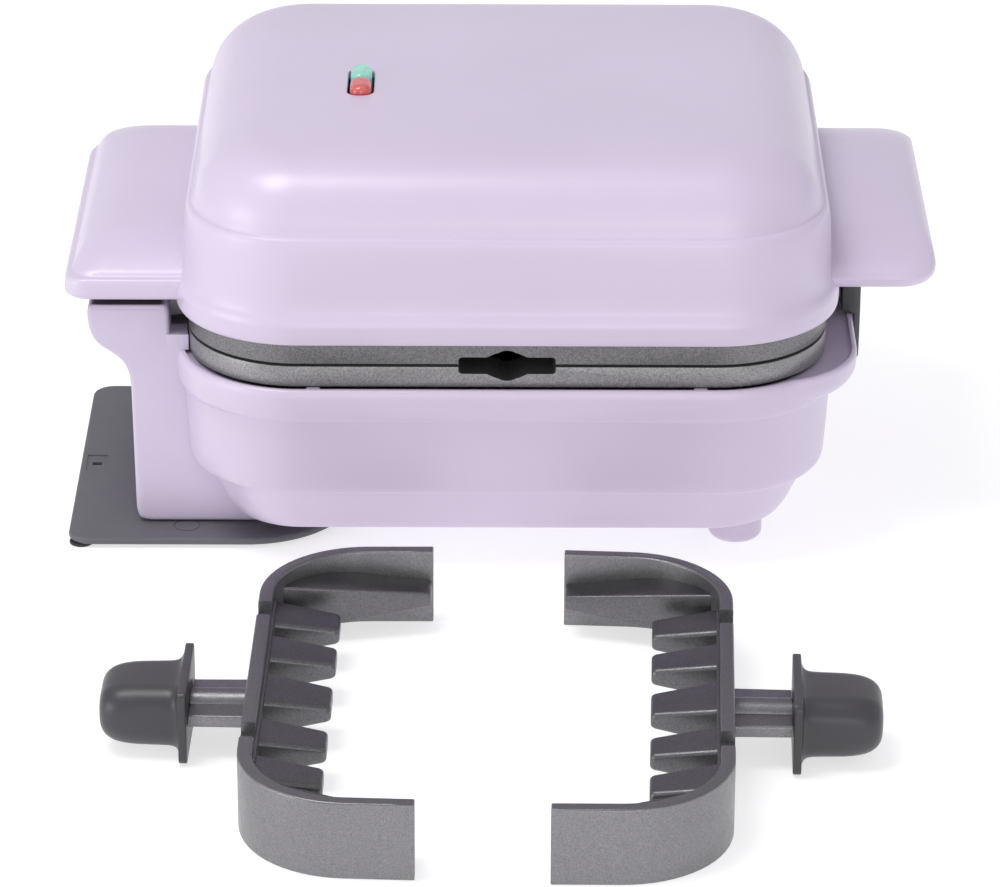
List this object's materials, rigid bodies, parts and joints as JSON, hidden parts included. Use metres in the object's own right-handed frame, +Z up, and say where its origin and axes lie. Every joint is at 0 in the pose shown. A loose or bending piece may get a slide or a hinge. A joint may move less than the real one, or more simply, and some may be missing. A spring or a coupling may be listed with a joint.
{
  "type": "donut maker",
  "caption": "Lavender clamshell donut maker on a side hinge column, with two loose dark cast core inserts.",
  "frame": {"origin": "on the table, under the middle of the machine and its two inserts taken together", "axes": "+Z up, -Y towards the user (the inserts lie in front), +X from the hinge column to the handle"},
  "size_m": [0.355, 0.4958, 0.1759],
  "materials": {
    "lavender_shell": "satin",
    "dark_stand": "matt",
    "coated_casting": "speckled non-stick coating",
    "bright_steel": "brushed",
    "dark_latch": "satin",
    "dark_knob": "satin",
    "black_rubber": "matt",
    "white_ceramic": "matt",
    "green_lens": "clear",
    "red_lens": "clear",
    "circuit_board": "satin"
  },
  "bodies": {
    "base": {"lower_housing": "lavender_shell", "bottom_cover": "lavender_shell", "stand_plate": "dark_stand", "lower_plate": "coated_casting", "lower_element": "bright_steel", "lower_reflector": "bright_steel", "hinge_bracket": "bright_steel", "hinge_pin": "bright_steel", "thermostat": "white_ceramic", "thermal_fuse": "bright_steel", "terminal_block": "white_ceramic", "cord_gland": "black_rubber", "stand_screw_1": "bright_steel", "stand_screw_2": "bright_steel", "stand_screw_3": "bright_steel", "stand_pad_1": "black_rubber", "stand_pad_2": "black_rubber", "stand_pad_3": "black_rubber", "stand_pad_4": "black_rubber", "foot_pad_1": "black_rubber", "foot_pad_2": "black_rubber", "cover_screw_1": "bright_steel", "cover_screw_2": "bright_steel", "cover_screw_3": "bright_steel", "cover_screw_4": "bright_steel"},
    "lid": {"lid_shell": "lavender_shell", "handle_underside": "lavender_shell", "upper_plate": "coated_casting", "upper_element": "bright_steel", "upper_reflector": "bright_steel", "latch_pin": "bright_steel", "green_lens": "green_lens", "red_lens": "red_lens", "lamp_board": "circuit_board"},
    "latch": {"latch_lever": "dark_latch"},
    "left_insert": {"left_core": "coated_casting", "left_knob": "dark_knob", "left_core_screw": "bright_steel"},
    "right_insert": {"right_core": "coated_casting", "right_knob": "dark_knob", "right_core_screw": "bright_steel"}
  },
  "joints": [
    {"name": "lid_hinge", "type": "hinge", "parent": "base", "child": "lid", "pos_m": [-0.15695, 0.1269, 0.0947], "axis": [0, -1, 0], "range_deg": [0, 100]},
    {"name": "latch_hinge", "type": "hinge", "parent": "lid", "child": "latch", "pos_m": [0.14505, 0.1269, 0.1062], "axis": [0, -1, 0], "range_deg": [0, 30]},
    {"name": "left_insert_lift", "type": "slide", "parent": "base", "child": "left_insert", "axis": [0, 0, 1], "range_m": [0, 0.15]},
    {"name": "right_insert_lift", "type": "slide", "parent": "base", "child": "right_insert", "axis": [0, 0, 1], "range_m": [0, 0.15]}
  ]
}
